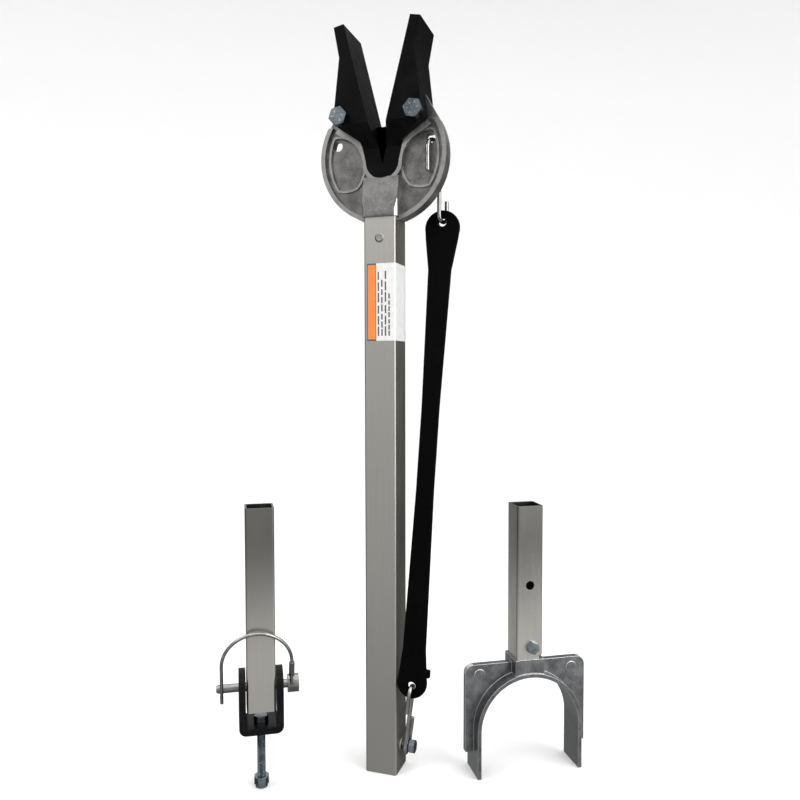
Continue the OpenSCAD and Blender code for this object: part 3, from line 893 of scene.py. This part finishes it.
class OBJECT_OT_bracket_bolt(Operator):
    """Makes the bracket's bolt, washer and lock nut"""

    bl_idname = "object.bracket_bolt"
    bl_label = "Bracket Bolt"

    def execute(self, context):
        width = context.scene.bar_edges.bolt
        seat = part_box("pivot_bracket")[0].z
        make_bolts("bracket_bolt", "bracket_clamp_bolt", solid_boxes("bracket_bolt"), Vector((0, 0, 1)),
                   seat + 1 * MM)
        rounded_piece("bracket_washer", "bracket_clamp_washer", ["bolt_zinc"], width)
        make_nuts("bracket_nut", "bracket_clamp_nut", solid_boxes("bracket_nut"), Vector((0, 0, 1)), width)
        rounded_piece("bracket_nut_insert", "bracket_clamp_nut_ring", ["nylon"], 0.2 * MM)
        return {"FINISHED"}


class OBJECT_OT_lock_pin(Operator):
    """Makes the quick-release pin with its barrel head"""

    bl_idname = "object.lock_pin"
    bl_label = "Lock Pin"

    def execute(self, context):
        pin = rounded_piece("lock_pin", "bracket_lock_pin", ["pin_steel"], 0.7 * MM, 3, 40)
        need(pin.data.polygons, "the lock pin came out empty")
        return {"FINISHED"}


class OBJECT_OT_wire_bail(Operator):
    """Makes the pin's wire bail and the ferrule on it"""

    bl_idname = "object.wire_bail"
    bl_label = "Wire Bail"

    def execute(self, context):
        width = context.scene.bar_edges.wire * 0.6
        rounded_piece("wire_bail", "bracket_pin_bail", ["wire_zinc"], width, 3, 50)
        rounded_piece("bail_ferrule", "bracket_pin_ferrule", ["pin_steel"], 0.4 * MM, 3, 50)
        return {"FINISHED"}


# ---- roller yoke fitting ----

class OBJECT_OT_yoke_tube(Operator):
    """Makes the square tube of the roller yoke"""

    bl_idname = "object.yoke_tube"
    bl_label = "Yoke Tube"

    def execute(self, context):
        width = context.scene.bar_edges.tube
        tube = rounded_piece("yoke_tube", "yoke_tube_piece", ["fitting_tube"], width)
        need(tube.data.polygons, "the yoke's tube came out empty")
        return {"FINISHED"}


class OBJECT_OT_roller_yoke(Operator):
    """Makes the cast yoke: dark skin, with a painted highlight on its small rounded edges"""

    bl_idname = "object.roller_yoke"
    bl_label = "Roller Yoke"

    def execute(self, context):
        bm = merged("roller_yoke")
        before = set(bm.faces)
        round_over(bm, context.scene.bar_edges.yoke, 3, 32)
        # the small rounded edge faces take the painted highlight
        for face in bm.faces:
            if face not in before and face.calc_area() < 60 * MM * MM and min(
                    e.calc_length() for e in face.edges) < 1.6 * MM:
                face.material_index = 1
        stands_for(finished(bm, "yoke_casting", ["dark_casting", "dark_casting_painted_highlight"]), "roller_yoke")
        return {"FINISHED"}


class OBJECT_OT_yoke_bolt(Operator):
    """Makes the yoke's cross bolt, its lock nut and nylon ring"""

    bl_idname = "object.yoke_bolt"
    bl_label = "Yoke Bolt"

    def execute(self, context):
        width = context.scene.bar_edges.bolt
        rounded_piece("yoke_bolt", "yoke_cross_bolt", ["bolt_zinc"], width * 1.6, 2, 30)
        rounded_piece("yoke_nut", "yoke_cross_nut", ["bolt_zinc"], width * 1.6, 2, 30)
        rounded_piece("yoke_nut_insert", "yoke_cross_nut_ring", ["nylon"], 0.15 * MM)
        return {"FINISHED"}


# ---- studio ----

def area_light(name, place, aim, wide, tall, power):
    light = bpy.data.lights.new(name, "AREA")
    light.shape = "RECTANGLE"
    light.size, light.size_y, light.energy = wide, tall, power
    lamp = bpy.data.objects.new(name, light)
    lamp.location = place
    lamp.rotation_euler = (Vector(aim) - Vector(place)).to_track_quat("-Z", "Y").to_euler()
    bpy.context.scene.collection.objects.link(lamp)


def soft_sky(strength):
    """Light from all round for the metal to mirror: brighter overhead, dim behind, at the left and below"""
    world = bpy.data.worlds.new("studio_world")
    world.use_nodes = True
    tree = world.node_tree
    background = tree.nodes["Background"]
    background.inputs["Color"].default_value = (1, 1, 1, 1)
    way = tree.nodes.new("ShaderNodeTexCoord").outputs["Generated"]

    def patch(direction, low, high, to_low, to_high):
        dot = tree.nodes.new("ShaderNodeVectorMath")
        dot.operation = "DOT_PRODUCT"
        dot.inputs[1].default_value = Vector(direction).normalized()
        level = tree.nodes.new("ShaderNodeMapRange")
        level.interpolation_type = "SMOOTHSTEP"
        for key, value in (("From Min", low), ("From Max", high), ("To Min", to_low), ("To Max", to_high)):
            level.inputs[key].default_value = value
        tree.links.new(way, dot.inputs[0])
        tree.links.new(dot.outputs["Value"], level.inputs["Value"])
        return level.outputs["Result"]

    def times(one, two):
        product = tree.nodes.new("ShaderNodeMath")
        product.operation = "MULTIPLY"
        for socket, value in zip(product.inputs, (one, two)):
            if isinstance(value, float):
                socket.default_value = value
            else:
                tree.links.new(value, socket)
        return product.outputs[0]

    behind = patch((0.33, 0.94, -0.05), 0.55, 0.97, 1.0, 0.10)
    left = patch((-1, -0.1, 0), 0.62, 0.95, 1.0, 0.12)
    overhead = patch((0, 0, 1), -0.1, 0.9, 0.74, 1.2)
    below = patch((0, 0, -1), 0.2, 0.8, 1.0, 0.45)
    light = times(times(behind, left), times(overhead, below))
    tree.links.new(times(light, strength), background.inputs["Strength"])
    return world


class OBJECT_OT_bar_studio(Operator):
    """Makes the pale round backdrop, the soft lights and the camera"""

    bl_idname = "object.bar_studio"
    bl_label = "Studio"

    def execute(self, context):
        scene = context.scene
        studio = scene.bar_studio
        bm = bmesh.new()
        curve = 1.0
        floor_r = studio.room - curve
        path = [Vector((0.0, 0.0, -0.0004)), Vector((floor_r, 0.0, -0.0004))]
        path += [Vector((floor_r + curve * math.sin(a), 0.0, curve * (1 - math.cos(a)) - 0.0004))
                 for a in [math.pi / 2 * i / 12 for i in range(1, 13)]]
        path.append(Vector((studio.room, 0.0, 3.4)))
        verts = [bm.verts.new(p) for p in path]
        edges = [bm.edges.new(pair) for pair in zip(verts, verts[1:])]
        bmesh.ops.spin(bm, geom=verts + edges, cent=(0, 0, 0), axis=(0, 0, 1), angle=2 * math.pi, steps=96,
                       use_merge=True)
        bmesh.ops.remove_doubles(bm, verts=bm.verts, dist=1e-6)
        bmesh.ops.recalc_face_normals(bm, faces=bm.faces)
        bmesh.ops.reverse_faces(bm, faces=bm.faces)
        for face in bm.faces:
            face.smooth = True
        mesh = bpy.data.meshes.new("studio_backdrop")
        bm.to_mesh(mesh)
        bm.free()
        mesh.materials.append(finish_named("floor"))
        backdrop = bpy.data.objects.new("studio_backdrop", mesh)
        backdrop.visible_glossy = False
        backdrop.visible_shadow = False
        scene.collection.objects.link(backdrop)

        low, high = CAD_BOX
        middle = (low + high) / 2
        area_light("studio_top", (0, 0, 3.3), middle, 4.0, 4.0, studio.top)
        area_light("studio_key", (-1.5, -1.9, 2.1), middle, 1.2, 1.2, studio.key)
        area_light("studio_side", (2.0, -0.7, 1.1), middle, 1.7, 2.2, studio.side)

        scene.world = soft_sky(studio.sky)
        scene.view_settings.view_transform = "Standard"

        camera_data = bpy.data.cameras.new("studio_camera")
        camera_data.sensor_width = 36.0
        camera_data.lens = studio.lens
        camera_data.clip_start, camera_data.clip_end = 0.02, 50
        camera = bpy.data.objects.new("studio_camera", camera_data)
        turned = (Matrix.Rotation(studio.turn, 4, "Z") @ Matrix.Rotation(math.pi / 2 - studio.dip, 4, "X")
                  @ Matrix.Rotation(studio.roll, 4, "Z"))
        camera.matrix_world = Matrix.Translation(Vector(studio.place)) @ turned
        scene.collection.objects.link(camera)
        scene.camera = camera
        return {"FINISHED"}


PIECE_OPERATORS = (
    OBJECT_OT_bar_tube, OBJECT_OT_bar_head, OBJECT_OT_bar_rivet, OBJECT_OT_bar_v_block, OBJECT_OT_bar_label,
    OBJECT_OT_bar_jaw_bolts, OBJECT_OT_bar_jaw_nuts, OBJECT_OT_bar_hooks, OBJECT_OT_bar_strap,
    OBJECT_OT_bar_set_bolt, OBJECT_OT_bracket_tube, OBJECT_OT_frame_bracket, OBJECT_OT_bracket_bolt,
    OBJECT_OT_lock_pin, OBJECT_OT_wire_bail, OBJECT_OT_yoke_tube, OBJECT_OT_roller_yoke, OBJECT_OT_yoke_bolt,
    OBJECT_OT_bar_studio,
)


class VIEW3D_PT_support_bar(Panel):
    """Buttons and sizes for the support bar"""

    bl_idname = "VIEW3D_PT_support_bar"
    bl_label = "Support Bar"
    bl_space_type = "VIEW_3D"
    bl_region_type = "UI"
    bl_category = "Support Bar"

    def draw(self, context):
        for name, group in SETTINGS.items():
            box = self.layout.box()
            box.label(text=group.__doc__)
            for key in group.__annotations__:
                box.prop(getattr(context.scene, name), key)
        for operator in PIECE_OPERATORS:
            self.layout.operator(operator.bl_idname)


CLASSES = (*SETTINGS.values(), *PIECE_OPERATORS, VIEW3D_PT_support_bar)


def register():
    for cls in CLASSES:
        bpy.utils.register_class(cls)
    for name, group in SETTINGS.items():
        setattr(bpy.types.Scene, name, PointerProperty(type=group))


def unregister():
    for name in SETTINGS:
        delattr(bpy.types.Scene, name)
    for cls in reversed(CLASSES):
        bpy.utils.unregister_class(cls)


def main():
    register()
    for operator in PIECE_OPERATORS:
        group, name = operator.bl_idname.split(".")
        getattr(getattr(bpy.ops, group), name)()


if __name__ == "__main__":
    main()
